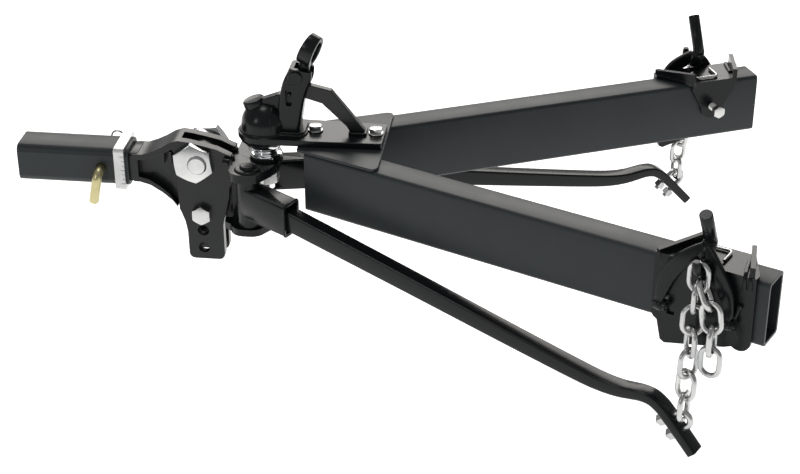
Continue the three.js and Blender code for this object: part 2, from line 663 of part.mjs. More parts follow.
function couplerLatch() {
  const top = COUPLER_BASE + GAP + COUPLER_FLANGE;
  const lean = vec(Math.sin(0.42), 0, Math.cos(0.42));
  const foot = vec(465, 0, top + 96);
  const forward = vec(-lean.z, 0, lean.x);
  const across = vec(0, 1, 0).addScaledVector(forward, -Math.tan(LOOP_TURN)).normalize(); // loop turned on its stem
  const through = across.clone().cross(lean).normalize();
  const at = (a, y) => foot.clone().addScaledVector(lean, a).addScaledVector(across, y);
  const points = arc(0, 0, 1, -80, 260, 12).map(([y, a]) =>
    at(LOOP.centre + LOOP.half * a, LOOP.across * y).addScaledVector(forward, 2));
  const bandWidth = (t) => [9 + 3 * Math.abs(Math.cos(Math.PI * t)), 4.4];
  const loop = solid(sweptGeometry(points, bandWidth, 6, false, through));
  const stem = roundBar(at(2, 0), at(30, 0), 9.6, 12, 8.5);
  return union(stem, loop);
}

function couplerBolt(x) {
  const top = COUPLER_BASE + GAP + COUPLER_FLANGE + GAP;
  const washer = roundBar(vec(x, 0, top), vec(x, 0, top + 2.4), 12, 16);
  const head = hexBar(vec(x, 0, top + 2), vec(x, 0, top + 10), 19);
  const trim = roundBar(vec(x, 0, top + 1), vec(x, 0, top + 10.1), 13, 18, 9.6);
  const shaft = roundBar(vec(x, 0, COUPLER_BASE + GAP + 1), vec(x, 0, top + 4), 6.4, 12);
  return union(head.intersect(trim), washer, shaft);
}

// ---------- snap-up brackets ----------
const BRACKET = {
  start: 646, end: 798, pivotLeft: 664, pivotRight: 766, pivotZ: -15, pivotOff: 16.2, earThick: 4.5,
};
const OUTER = GAP; // inside of the outer plate, measured from the rail face
const EYE_HALF = 4.5; // half length of a yoke eye along the rail
const EYE_R = 8.6;
const PIVOT_PIN_R = 4.2;

function saddle(side) {
  const top = RAIL_TOP + GAP;
  const outer = plateY([
    [BRACKET.start, top + SHEET], [BRACKET.start, -18],
    ...arc(BRACKET.start + 15, -33, 15, 180, 250, 3),
    [663, -78], [670, -82], [760, -60],
    ...arc(782, -42, 17, 230, 360, 6),
    [799, -30], [BRACKET.end, top + SHEET],
  ], OUTER, OUTER + SHEET);
  const lid = plateZ([
    [BRACKET.start, OUTER + SHEET], [BRACKET.start, OUTER - 6], [690, -RAIL.width - GAP - SHEET],
    [772, -RAIL.width - GAP - SHEET], [BRACKET.end, OUTER - 6], [BRACKET.end, OUTER + SHEET],
  ], top, top + SHEET);
  const flap = plateY([
    [690, top + SHEET], [690, top - 8], [709, 14], ...arc(729, 12, 20, 190, 350, 7), [752, 16],
    [772, top - 8], [772, top + SHEET],
  ], -RAIL.width - GAP - SHEET, -RAIL.width - GAP);
  const ridge = (s0, s1, dip) => {
    const z = top + SHEET + 5;
    const points = [vec(s0, OUTER + SHEET - 1, z - dip), vec(s1, -RAIL.width - SHEET, z)];
    return solid(sweptGeometry(points, () => [15, 5], 4, false, vec(0, 0, 1)));
  };
  const ridges = [ridge(BRACKET.start + 5, 694, 10), ridge(BRACKET.end - 7, 768, 0)];
  const { pivotLeft, pivotRight, pivotZ, pivotOff, earThick } = BRACKET;
  const earStart = EYE_HALF + GAP;
  const ear = (s, turn) => {
    const from = turn > 0 ? s + earStart : s - earStart - earThick;
    const cheek = barX([
      [OUTER + SHEET - 1, pivotZ - 13], ...arc(pivotOff, pivotZ, 7.5, -60, 60, 4), [OUTER + SHEET - 1, pivotZ + 13],
    ], from, from + earThick);
    return cut(cheek, roundBar(vec(from - 1, pivotOff, pivotZ), vec(from + earThick + 1, pivotOff, pivotZ),
      PIVOT_PIN_R + GAP, 12));
  };
  const ears = [ear(pivotLeft, -1), ear(pivotLeft, 1), ear(pivotRight, -1), ear(pivotRight, 1)];
  const setHole = roundBar(vec(729, -80, 14), vec(729, -45, 14), 6.4 + GAP, 12);
  const notch = plateY([[670, -33], [682, -33], [682, -27], [676, -27], [676, -22], [670, -22]], 0, 20);
  const railRoom = boxBody(600, -RAIL.width - GAP, -100, 900, OUTER, top);
  return placed(cut(union(outer, lid, flap, ...ridges, ...ears), railRoom, setHole, notch), railFrame(side));
}

function setBolt(side) {
  const head = hexBar(vec(729, -86, 14), vec(729, -76, 14), 19);
  const shaft = roundBar(vec(729, -77, 14), vec(729, -RAIL.width - GAP - 0.2, 14), 6.4, 12);
  return placed(union(head, shaft), railFrame(side));
}

const YOKE = { apex: [719, 3, 86] };

// swings about the line through both eyes, which runs along the rail
function yoke(side) {
  const { pivotLeft, pivotRight, pivotZ, pivotOff, earThick } = BRACKET;
  const leg = (s, lean) => curve([
    vec(s, pivotOff, pivotZ + 2), vec(s, pivotOff + 0.5, pivotZ + 20), vec(s + lean * 8, pivotOff, pivotZ + 50),
    vec(s + lean * 26, pivotOff - 2, pivotZ + 79), vec(...YOKE.apex),
  ], 7);
  const size = (t) => [3.4 + 1.2 * t, 2.6 + 9.6 * Math.sin(Math.PI * 0.72 * t)];
  const legs = [
    solid(sweptGeometry(leg(pivotLeft, 1), size, 8, false, vec(0, 1, 0.2))),
    solid(sweptGeometry(leg(pivotRight, -1), size, 8, false, vec(0, 1, 0.2))),
  ];
  const eyes = [pivotLeft, pivotRight].map((s) =>
    roundBar(vec(s - EYE_HALF, pivotOff, pivotZ), vec(s + EYE_HALF, pivotOff, pivotZ), EYE_R, 14));
  const pinReach = EYE_HALF + GAP + earThick + 2.5;
  const pins = [pivotLeft, pivotRight].map((s) =>
    roundBar(vec(s - pinReach, pivotOff, pivotZ), vec(s + pinReach, pivotOff, pivotZ), PIVOT_PIN_R, 12));
  const stub = union(
    roundBar(vec(722, -9, 92), vec(723, 24, 150), 9.5, 14),
    roundBar(vec(718, 6, 70), vec(722, -9, 96), 10.5, 12),
  );
  const hook = rod(curve([
    vec(HOOK.s - 2, 0, HOOK.z + 14), vec(HOOK.s - 1, 9, HOOK.z + 3), vec(HOOK.s, HOOK.off - 6, HOOK.z),
    vec(HOOK.s, HOOK.off + 6, HOOK.z), vec(HOOK.s, HOOK.off + 13, HOOK.z + 8), vec(HOOK.s, HOOK.off + 14, HOOK.z + 20),
  ], 6), HOOK.radius, 6);
  return placed(union(...legs, ...eyes, ...pins, stub, hook), railFrame(side));
}

function safetyClip(side) {
  const z = RAIL_TOP + GAP + SHEET + 3;
  const points = [vec(741, -14, z), vec(741, -40, z)];
  for (const [x, y] of arc(735, -40, 6, 0, -90, 3).slice(1)) points.push(vec(x, y, z));
  for (const [x, y] of arc(708, -40, 6, 270, 180, 3)) points.push(vec(x, y, z));
  for (const [x, y] of arc(708, -26, 6, 180, 100, 3)) points.push(vec(x, y, z + 1));
  return placed(rod(points, 2.2, 6), railFrame(side));
}

// ---------- chains ----------
function linkBody(top, down, facing, inner) {
  const along = down.clone().normalize();
  const across = facing.clone().addScaledVector(along, -facing.dot(along)).normalize();
  const radius = (LINK.inside + LINK.wire) / 2;
  const straight = (inner - LINK.inside) / 2;
  const centre = top.clone().addScaledVector(along, inner / 2);
  const path = [
    ...arc(0, straight, radius, 0, 180, 4),
    ...arc(0, -straight, radius, 180, 360, 4),
  ].map(([x, y]) => centre.clone().addScaledVector(across, x).addScaledVector(along, -y));
  return rod(path, LINK.wire / 2, 6, true);
}

// the hooked link hangs straight down; the run leads on to the U-bolt with an even twist
const RUN_LINKS = 6;
const TWIST = THREE.MathUtils.degToRad(105);
const TAIL_GAP = 2.2;
const TAIL = [
  { lean: 0.7, out: 0.45, face: 80 },
  { lean: 0.2, out: 0.1, face: 0 },
  { lean: 0.03, out: 0.04, face: 84 },
  { lean: 0, out: 0, face: 0 },
];

function chain(side) {
  const frame = railFrame(side);
  const inner = LINK.length;
  const down = vec(0, 0, -1);
  const hookSeat = frame.at(HOOK.s, HOOK.off, HOOK.z + HOOK.radius + GAP);
  const links = [linkBody(hookSeat, down, frame.along, inner)];
  const bend = inner - LINK.inside / 2; // centre of the lower bend, below the inside top
  const start = hookSeat.clone().addScaledVector(frame.along, -2.6);
  start.z -= bend + 2.6 + LINK.wire / 2;
  const end = bowSeat(side);
  const line = end.clone().sub(start);
  const pitch = line.length() / RUN_LINKS;
  const along = line.clone().normalize();
  for (let i = 0; i < RUN_LINKS; i += 1) {
    const top = start.clone().addScaledVector(along, i * pitch);
    const facing = frame.along.clone().applyAxisAngle(along, side * (i + 1) * TWIST);
    links.push(linkBody(top, along, facing, pitch + LINK.gap));
  }
  const tail = [];
  const top = hookSeat.clone().addScaledVector(frame.along, 5.1);
  top.z -= bend - 7 + LINK.wire / 2;
  let before = null;
  TAIL.forEach(({ lean, out, face }) => {
    const direction = down.clone().addScaledVector(frame.along, lean).addScaledVector(frame.out, out).normalize();
    if (before) {
      top.addScaledVector(before, inner + LINK.wire / 2).addScaledVector(direction, -LINK.wire / 2 - TAIL_GAP);
    }
    const angle = THREE.MathUtils.degToRad(face);
    const facing = frame.along.clone().multiplyScalar(Math.cos(angle)).addScaledVector(frame.out, Math.sin(angle));
    tail.push(linkBody(top, direction, facing, inner));
    before = direction;
  });
  return { links, tail };
}

// ---------- assembly ----------
const DARK = { colour: 0x2c3033, roughness: 0.55, metalness: 0.3 };
const BLACK = { colour: 0x131415, roughness: 0.3, metalness: 0.35 };
const ZINC = { colour: 0xc9ccd0, roughness: 0.32, metalness: 1 };
const YELLOW = { colour: 0xb9a35c, roughness: 0.35, metalness: 1 };
const CHROME = { colour: 0xe6e8ea, roughness: 0.08, metalness: 1 };
const SILVER = { colour: 0xd9dbdd, roughness: 0.3, metalness: 0.9 };

const group = new THREE.Group();
group.name = 'weight_distribution_hitch';

function add(name, body, look) {
  const material = new THREE.MeshStandardMaterial({
    color: look.colour, roughness: look.roughness, metalness: look.metalness,
  });
  const mesh = new THREE.Mesh(geometryOf(body), material);
  mesh.name = name;
  group.add(mesh);
}

add('receiver_tube', receiverTube(), DARK);
add('receiver_collar', receiverCollar(), SILVER);
add('shank_casting', shankCasting(), BLACK);
add('hitch_pin', hitchPin(), YELLOW);
add('pin_clip', pinClip(), ZINC);
add('head_casting', headCasting(), BLACK);
add('tilt_cam_near', cam(-1), ZINC);
add('tilt_cam_far', cam(1), ZINC);
add('pivot_bolt', pivotBolt(), ZINC);
add('pivot_nut', pivotNut(), ZINC);
add('drop_bolt', dropBolt(), ZINC);
add('drop_bolt_nut', dropNut(), ZINC);
add('hitch_ball', hitchBall(), CHROME);
add('ball_washer', ballWasher(), ZINC);
add('ball_nut', ballNut(), ZINC);
add('gusset_plate', gussetPlate(), DARK);
add('coupler_casting', couplerCasting(), BLACK);
add('coupler_latch', couplerLatch(), BLACK);
add('coupler_bolt_front', couplerBolt(COUPLER_BOLTS[0]), ZINC);
add('coupler_bolt_rear', couplerBolt(COUPLER_BOLTS[1]), ZINC);

for (const [label, side] of [['near', -1], ['far', 1]]) {
  add(`trunnion_pin_${label}`, trunnionPin(side), BLACK);
  add(`bar_socket_${label}`, socket(side), BLACK);
  add(`spring_bar_${label}`, springBar(side), BLACK);
  add(`u_bolt_${label}`, uBolt(side), ZINC);
  add(`rail_${label}`, rail(side), DARK);
  add(`saddle_${label}`, saddle(side), BLACK);
  add(`set_bolt_${label}`, setBolt(side), ZINC);
  add(`yoke_${label}`, yoke(side), BLACK);
  add(`safety_clip_${label}`, safetyClip(side), ZINC);
  const { links, tail } = chain(side);
  links.forEach((link, i) => add(`chain_${label}_${i + 1}`, link, ZINC));
  tail.forEach((link, i) => add(`chain_tail_${label}_${i + 1}`, link, ZINC));
}

export default group;
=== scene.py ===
"""Looks of the weight distribution hitch: camera, light, materials and the detailed pieces.

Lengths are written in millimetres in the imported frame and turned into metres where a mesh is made.
"""
import math
import bpy
import bmesh
from mathutils import Matrix, Vector


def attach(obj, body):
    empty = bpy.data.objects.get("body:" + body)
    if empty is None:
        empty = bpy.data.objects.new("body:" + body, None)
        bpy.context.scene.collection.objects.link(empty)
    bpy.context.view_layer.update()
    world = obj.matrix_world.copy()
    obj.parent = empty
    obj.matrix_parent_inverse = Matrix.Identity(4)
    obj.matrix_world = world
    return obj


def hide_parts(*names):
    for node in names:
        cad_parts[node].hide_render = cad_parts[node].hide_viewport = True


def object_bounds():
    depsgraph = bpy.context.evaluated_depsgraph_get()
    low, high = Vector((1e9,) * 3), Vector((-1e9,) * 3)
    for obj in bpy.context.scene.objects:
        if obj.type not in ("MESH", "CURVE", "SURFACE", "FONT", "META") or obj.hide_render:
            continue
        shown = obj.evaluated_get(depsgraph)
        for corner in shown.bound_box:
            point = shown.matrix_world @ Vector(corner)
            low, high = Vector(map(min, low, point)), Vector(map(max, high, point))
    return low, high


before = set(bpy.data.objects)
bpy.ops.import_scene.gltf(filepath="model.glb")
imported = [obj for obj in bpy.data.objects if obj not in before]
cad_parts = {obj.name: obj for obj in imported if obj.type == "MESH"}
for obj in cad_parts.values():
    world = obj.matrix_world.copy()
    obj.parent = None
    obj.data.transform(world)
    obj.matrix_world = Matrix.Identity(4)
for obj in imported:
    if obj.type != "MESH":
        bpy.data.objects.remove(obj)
cad_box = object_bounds()
MM = 0.001
WELD = 1e-6
CAD_WELD = 2e-5
FLAT_ENOUGH = math.radians(1.5)

# ---------- driving dimensions, the same as the CAD's ----------
GAP = 0.3
RECEIVER = 63.5
SHANK = 50.2
CHEEK_Y = SHANK / 2
PIN_X = 139
PIN_R = 15.9 / 2
PIVOT = (299, 16)
PIVOT_R = 16
CAM_CENTRE = (291, 15.5)
CAM_FLATS = 60
CAM_THICK = 11
CAM_TILT = -6.3
PIVOT_NUT = {"flats": 62, "thick": 20, "tilt": 27}
DROP = (300, -77)
BOLT_R = 19.05 / 2
DROP_FLATS = 28.6
BALL_NUT_FLATS = 37
BALL_SHANK_R = 12.7
SMALL_FLATS = 19
SMALL_BOLT_R = 6.4
UBOLT_FLATS = 17
BALL_X = 405
BALL_R = 58.74 / 2
BALL_Z = 58
HEAD_TOP = 20
HEAD_UNDER = 5
FLANGE_BOTTOM = -90
TRUNNION = (384, 49)
BAR_ANGLE = math.radians(26)
BAR_WIDTH = 26
RAIL_START = (440, 36.4)
RAIL_ANGLE = math.radians(25)
RAIL_TOP = 55.2
RAIL_WIDTH = 50.8
NOSE_X = 476
SHEET = 6
DOME_R = 37.5
LOOP_TURN = math.radians(14)
LOOP = {"centre": 46, "half": 22, "across": 17}
COUPLER_BASE = 60.7
COUPLER_TOP = 70.7
COUPLER_BOLTS = (487, 584)
TOWER_X = 448.5
STRAP_FOOT_X = 555.5
HOOK = {"s": 722, "off": 26, "z": 64, "radius": 6}
WIRE = 8
LINK_INSIDE = 20
LINK_LENGTH = 36.6
LINK_GAP = 1.0
RUN_LINKS = 6
RUN_TWIST = math.radians(105)
TAIL_GAP = 2.2
TAIL = ((0.7, 0.45, 80), (0.2, 0.1, 0), (0.03, 0.04, 84), (0, 0, 0))
YOKE_PIVOTS = (664, 766)
YOKE_OFF = 16.2
YOKE_Z = -15
EYE_HALF = 4.5
EYE_R = 8.6
YOKE_PIN_R = 4.2
UBOLT_HALF = 12.4
UBOLT_PLACE = 0.22
UBOLT_RISE = 15
BOW_R = 9.5 / 2
BOW_PLAY = 2.4
BAR_LINE = (
    (24, -34, 16.6), (100, -49, 16.2), (300, -88, 14.4), (480, -124, 12.6), (600, -147, 11.4),
    (642, -153, 10.4), (670, -153.5, 9.4), (690, -151, 8.8), (706, -149, 8.4), (722, -150.5, 8.2),
    (736, -158, 8), (750, -171, 7.8), (794, -219, 7.5),
)
SIDES = {"near": -1, "far": 1}


# ---------- vector and mesh helpers ----------
def vec(x, y, z):
    return Vector((x, y, z))


def line_frame(start, angle, side):
    """Directions along and outward of a rail or bar, and the point at (s, off, z)."""
    along = vec(math.cos(angle), side * math.sin(angle), 0)
    out = vec(-math.sin(angle), side * math.cos(angle), 0)
    origin = vec(start[0], side * start[1], 0)

    def at(s, off, z):
        point = origin + along * s + out * off
        point.z = z
        return point

    return along, out, at


def rail_frame(side):
    return line_frame(RAIL_START, RAIL_ANGLE, side)


def bar_frame(side):
    return line_frame(TRUNNION, BAR_ANGLE, side)


def arc(cx, cy, radius, start, end, steps):
    points = []
    for i in range(steps + 1):
        angle = math.radians(start + (end - start) * i / steps)
        points.append((cx + radius * math.cos(angle), cy + radius * math.sin(angle)))
    return points


def rounded(half_w, half_h, corner, steps=4):
    """Rounded rectangle outline about the origin."""
    return (
        arc(half_w - corner, -half_h + corner, corner, -90, 0, steps)
        + arc(half_w - corner, half_h - corner, corner, 0, 90, steps)
        + arc(-half_w + corner, half_h - corner, corner, 90, 180, steps)
        + arc(-half_w + corner, -half_h + corner, corner, 180, 270, steps)
    )


def circle(radius, sides):
    return arc(0, 0, radius, 0, 360 * (sides - 1) / sides, sides - 1)


def smooth_run(points, steps):
    """Catmull-Rom run through the points, with steps pieces between each two."""
    run = []
    last = len(points) - 1
    for i in range(last):
        a = points[max(i - 1, 0)]
        b = points[i]
        c = points[i + 1]
        d = points[min(i + 2, last)]
        for k in range(steps):
            t = k / steps
            run.append(
                0.5 * ((2 * b) + (c - a) * t + (2 * a - 5 * b + 4 * c - d) * t * t
                       + (3 * b - a - 3 * c + d) * t ** 3)
            )
    run.append(points[-1].copy())
    return run


def sweep(points, section, closed=False, side=None):
    """Skin along points. section(t) gives the outline as (normal, across) pairs."""
    count = len(points)
    verts = []
    faces = []
    normal = side.copy() if side else None
    for i, point in enumerate(points):
        before = points[(i - 1) % count if closed else max(i - 1, 0)]
        after = points[(i + 1) % count if closed else min(i + 1, count - 1)]
        along = (after - before).normalized()
        if normal is None:
            normal = vec(0, 0, 1) if abs(along.z) < 0.9 else vec(1, 0, 0)
        normal = (normal - along * normal.dot(along)).normalized()
        across = along.cross(normal)
        outline = section(i / (count - 1))
        for a, b in outline:
            verts.append(point + normal * a + across * b)
    sides = len(outline)
    for i in range(count if closed else count - 1):
        j = (i + 1) % count
        for k in range(sides):
            m = (k + 1) % sides
            faces.append((i * sides + k, i * sides + m, j * sides + m, j * sides + k))
    if not closed:
        faces.append(tuple(range(sides - 1, -1, -1)))
        faces.append(tuple(range((count - 1) * sides, count * sides)))
    return verts, faces


def rod(points, radius, sides=16, closed=False):
    return sweep(points, lambda t: circle(radius, sides), closed)


def turned(profile, start, axis, sides=48):
    """Turned solid: profile(angle) gives (radius, height) pairs from one end to the other."""
    axis = axis.normalized()
    helper = vec(1, 0, 0) if abs(axis.x) < 0.9 else vec(0, 0, 1)
    u = (helper - axis * helper.dot(axis)).normalized()
    w = axis.cross(u)
    verts = []
    faces = []
    for k in range(sides):
        angle = 2 * math.pi * k / sides
        line = profile(angle)
        for r, h in line:
            verts.append(start + axis * h + (u * math.cos(angle) + w * math.sin(angle)) * r)
    rows = len(line)
    for k in range(sides):
        m = (k + 1) % sides
        for i in range(rows - 1):
            faces.append((k * rows + i, m * rows + i, m * rows + i + 1, k * rows + i + 1))
    return verts, faces


def prism(outline, depth, place):
    """Solid from a flat outline; place(x, y, d) maps it and the depth into space."""
    count = len(outline)
    verts = [place(x, y, 0) for x, y in outline] + [place(x, y, depth) for x, y in outline]
    faces = [tuple(range(count - 1, -1, -1)), tuple(range(count, 2 * count))]
    for k in range(count):
        m = (k + 1) % count
        faces.append((k, m, count + m, count + k))
    return verts, faces


def hexagon(start, end, flats, bore=0, both=True):
    """Chamfered hexagon from start to end, with a bore if it is a nut."""
    height = (end - start).length
    crown = flats / 2 * 0.96

    def profile(angle):
        turn = (angle + math.pi / 6) % (math.pi / 3) - math.pi / 6
        reach = flats / 2 / math.cos(turn)
        fall = max(0.0, reach - crown) * math.tan(math.radians(30))
        low = fall if both else 0
        return [(bore, 0), (crown, 0), (reach, low), (reach, height - fall), (crown, height), (bore, height)]

    verts, faces = turned(profile, start, end - start, 72)
    if bore:
        rows = 6
        for k in range(72):
            m = (k + 1) % 72
            faces.append((k * rows + rows - 1, m * rows + rows - 1, m * rows, k * rows))
    return verts, faces


def tilted(shape, centre, degrees):
    """The shape turned about the Y axis through a centre."""
    turn = Matrix.Rotation(math.radians(degrees), 3, "Y")
    verts, faces = shape
    return [centre + turn @ (v - centre) for v in verts], faces


def stud(start, end, radius, pitch=1.8, plain=0.0):
    """Threaded stud: plain shank for a share of its length, then rolled ridges and a chamfered end."""
    length = (end - start).length
    profile = [(0, 0), (radius, 0), (radius, length * plain)]
    z = length * plain + pitch
    while z < length - pitch:
        profile += [(radius, z - pitch / 2), (radius - 0.9, z)]
        z += pitch
    profile += [(radius, length - pitch * 0.7), (radius - 1, length), (0, length)]
    return turned(lambda angle: profile, start, end - start, 32)


def round_bar(start, end, radius, edge=0.8, end_radius=None):
    length = (end - start).length
    top = radius if end_radius is None else end_radius
    profile = [(0, 0), (radius - edge, 0), (radius, edge)]
    profile += [(top, length - edge), (top - edge, length), (0, length)]
    return turned(lambda angle: profile, start, end - start, 40)


def joined(*shapes):
    verts = []
    faces = []
    for more_verts, more_faces in shapes:
        base = len(verts)
        verts += more_verts
        faces += [tuple(base + i for i in face) for face in more_faces]
    return verts, faces


def mesh_of(name, shape):
    verts, faces = shape
    mesh = bpy.data.meshes.new(name)
    mesh.from_pydata([v * MM for v in verts], [], faces)
    return mesh


def add_object(name, mesh):
    obj = bpy.data.objects.new(name, mesh)
    bpy.context.scene.collection.objects.link(obj)
    return obj


def weld(mesh):
    """Merge doubled corners and turn every face outward."""
    work = bmesh.new()
    work.from_mesh(mesh)
    bmesh.ops.remove_doubles(work, verts=work.verts, dist=WELD)
    bmesh.ops.recalc_face_normals(work, faces=work.faces)
    work.to_mesh(mesh)
    work.free()


MATERIALS = {}


def dress(obj, body, nodes, slot, bevel=0.0, sharp=38, look=None):
    """Edges, material and body of a piece; slot names its material, and look names a material other than the
    slot's own.
    """
    mesh = obj.data
    weld(mesh)
    for face in mesh.polygons:
        face.use_smooth = True
    mesh.set_sharp_from_angle(angle=math.radians(sharp))
    if bevel:
        edge = obj.modifiers.new("edge", "BEVEL")
        edge.width = bevel * MM
        edge.segments = 2
        edge.limit_method = "ANGLE"
        edge.angle_limit = math.radians(sharp)
        edge.harden_normals = True
        edge.use_clamp_overlap = True
    mesh.materials.clear()
    mesh.materials.append(MATERIALS[look or slot])
    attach(obj, body)
    if nodes:
        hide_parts(*nodes)


def piece(name, shape, body, nodes, slot, bevel=0.0, sharp=38, look=None):
    dress(add_object(name, mesh_of(name, shape)), body, nodes, slot, bevel, sharp, look)


def refined(node, body, slot, bevel=0.8, sharp=38, look=None):
    """Copy of a CAD node with its flat faces merged and its edges rounded."""
    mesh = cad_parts[node].data.copy()
    work = bmesh.new()
    work.from_mesh(mesh)
    bmesh.ops.remove_doubles(work, verts=work.verts, dist=CAD_WELD)
    bmesh.ops.dissolve_limit(work, angle_limit=FLAT_ENOUGH, verts=work.verts, edges=work.edges)
    work.to_mesh(mesh)
    work.free()
    dress(add_object(node + "_finish", mesh), body, [node], slot, bevel, sharp, look)


# ---------- materials ----------
def metal(name, colour, roughness, metallic, coat=0.0, grain=900.0, bump=0.05, streak=0.0, edge_highlight=0.0, tint=None,
          shine=0.5):
    """Coated or bare metal: broad colour drift, fine skin, and a painted highlight on the edges."""
    mat = bpy.data.materials.new(name)
    mat.use_nodes = True
    tree = mat.node_tree
    nodes = tree.nodes
    link = tree.links.new
    shader = nodes["Principled BSDF"]
    shader.inputs["Metallic"].default_value = metallic
    shader.inputs["Coat Weight"].default_value = coat
    shader.inputs["Coat Roughness"].default_value = 0.12
    shader.inputs["Specular IOR Level"].default_value = shine
    place = nodes.new("ShaderNodeTexCoord")
    broad = nodes.new("ShaderNodeTexNoise")
    broad.inputs["Scale"].default_value = 14
    broad.inputs["Detail"].default_value = 5
    link(place.outputs["Object"], broad.inputs["Vector"])
    fine = nodes.new("ShaderNodeTexNoise")
    fine.inputs["Scale"].default_value = grain
    fine.inputs["Detail"].default_value = 3
    if streak:
        stretch = nodes.new("ShaderNodeMapping")
        stretch.inputs["Scale"].default_value = (1, streak, streak)
        link(place.outputs["Object"], stretch.inputs["Vector"])
        link(stretch.outputs["Vector"], fine.inputs["Vector"])
    else:
        link(place.outputs["Object"], fine.inputs["Vector"])
    drift = nodes.new("ShaderNodeValToRGB")
    drift.color_ramp.elements[0].position = 0.3
    drift.color_ramp.elements[1].position = 0.72
    drift.color_ramp.elements[0].color = (*[c * 0.82 for c in colour], 1)
    drift.color_ramp.elements[1].color = (*(tint or [c * 1.12 for c in colour]), 1)
    link(broad.outputs["Fac"], drift.inputs["Fac"])
    colour_out = drift.outputs["Color"]
    if edge_highlight:
        # where the rounded normal leaves the flat one there is an edge, and a highlight is painted on it in
        # patches, brighter than the base colour
        soft = nodes.new("ShaderNodeBevel")
        soft.samples = 4
        soft.inputs["Radius"].default_value = 0.0012
        flat = nodes.new("ShaderNodeNewGeometry")
        facing = nodes.new("ShaderNodeVectorMath")
        facing.operation = "DOT_PRODUCT"
        link(soft.outputs["Normal"], facing.inputs[0])
        link(flat.outputs["Normal"], facing.inputs[1])
        edge = nodes.new("ShaderNodeMapRange")
        edge.inputs["From Min"].default_value = 0.995
        edge.inputs["From Max"].default_value = 0.9
        link(facing.outputs["Value"], edge.inputs["Value"])
        painted_highlight_mask = nodes.new("ShaderNodeMath")
        painted_highlight_mask.operation = "MULTIPLY"
        link(edge.outputs["Result"], painted_highlight_mask.inputs[0])
        link(broad.outputs["Fac"], painted_highlight_mask.inputs[1])
        mix = nodes.new("ShaderNodeMix")
        mix.data_type = "RGBA"
        colour_a, highlight_colour = mix.inputs[6], mix.inputs[7]
        link(painted_highlight_mask.outputs["Value"], mix.inputs["Factor"])
        link(colour_out, colour_a)
        # painted highlight colour on the edges: the base colour raised by the edge highlight amount
        highlight_colour.default_value = (*[min(1, c + edge_highlight) for c in colour], 1)
        colour_out = mix.outputs[2]
    link(colour_out, shader.inputs["Base Color"])
    gloss = nodes.new("ShaderNodeMapRange")
    gloss.inputs["To Min"].default_value = roughness * 0.8
    gloss.inputs["To Max"].default_value = roughness * 1.25
    link(broad.outputs["Fac"], gloss.inputs["Value"])
    link(gloss.outputs["Result"], shader.inputs["Roughness"])
    skin = nodes.new("ShaderNodeBump")
    skin.inputs["Strength"].default_value = bump
    skin.inputs["Distance"].default_value = 0.0004
    link(fine.outputs["Fac"], skin.inputs["Height"])
    link(skin.outputs["Normal"], shader.inputs["Normal"])
    MATERIALS[name] = mat


# the edge highlight amount sets how bright the painted highlight on the edges of these materials is
metal("charcoal_paint", (0.022, 0.0275, 0.0295), 0.4, 0.0, grain=1400, bump=0.06, edge_highlight=0.08, shine=0.28)
metal("gloss_black", (0.0055, 0.0066, 0.0074), 0.24, 0.0, coat=0.1, grain=420, bump=0.32, edge_highlight=0.05, shine=0.2)
metal("cast_black", (0.0075, 0.0085, 0.0092), 0.3, 0.0, coat=0.16, grain=260, bump=0.75, edge_highlight=0.05, shine=0.26)
metal("bright_zinc", (0.5, 0.51, 0.52), 0.26, 1.0, grain=700, bump=0.25, tint=(0.72, 0.72, 0.7))
metal("yellow_zinc", (0.52, 0.46, 0.24), 0.32, 1.0, grain=800, bump=0.1, tint=(0.68, 0.62, 0.36))
metal("bright_collar", (0.54, 0.55, 0.55), 0.36, 0.85, grain=500, bump=0.08, streak=12, tint=(0.66, 0.66, 0.66))
metal("ball_chrome", (0.8, 0.81, 0.82), 0.07, 1.0, grain=300, bump=0.01)


# ---------- receiver, shank and head ----------
ROOT = "hitch_head"
refined("receiver_tube", ROOT, "charcoal_paint", 1.0)
refined("receiver_collar", ROOT, "bright_collar", 0.35)
refined("shank_casting", ROOT, "gloss_black", 1.6, look="cast_black")
refined("head_casting", ROOT, "gloss_black", 2.2)
refined("ball_washer", ROOT, "bright_zinc", 0.6)


def hitch_pin():
    far = RECEIVER / 2 + 17
    near = -RECEIVER / 2 - 9
    bend = 13
    lean = 0.2
    points = [vec(PIN_X, far, 0), vec(PIN_X, 0, 0), vec(PIN_X, near, 0)]
    steps = 10
    for i in range(1, steps + 1):
        angle = i / steps * math.pi / 2
        drop = bend * (1 - math.cos(angle))
        points.append(vec(PIN_X - drop * lean, near - bend * math.sin(angle), -drop))
    points += [vec(PIN_X - 50.5 * lean, near - bend, -50.5), vec(PIN_X - 52 * lean, near - bend, -52)]

    def section(t):
        radius = PIN_R - 1.5 if t == 1 else PIN_R
        return circle(radius, 24)

    piece("hitch_pin_rod", sweep(points, section), "pin", ["hitch_pin"], "yellow_zinc")


def pin_clip():
    y = RECEIVER / 2 + 10
    points = [vec(PIN_X, y, -17), vec(PIN_X, y, 14)]
    loop = 10.2
    points += [vec(x, y, z) for x, z in arc(PIN_X + loop, 22, loop, 180, -76, 18)]
    points += [vec(PIN_X + 12.5, y, 4), vec(PIN_X + 15, y, -12)]
    piece("pin_clip_wire", rod(points, 1.6, 12), "pin_clip_body", ["pin_clip"], "bright_zinc")


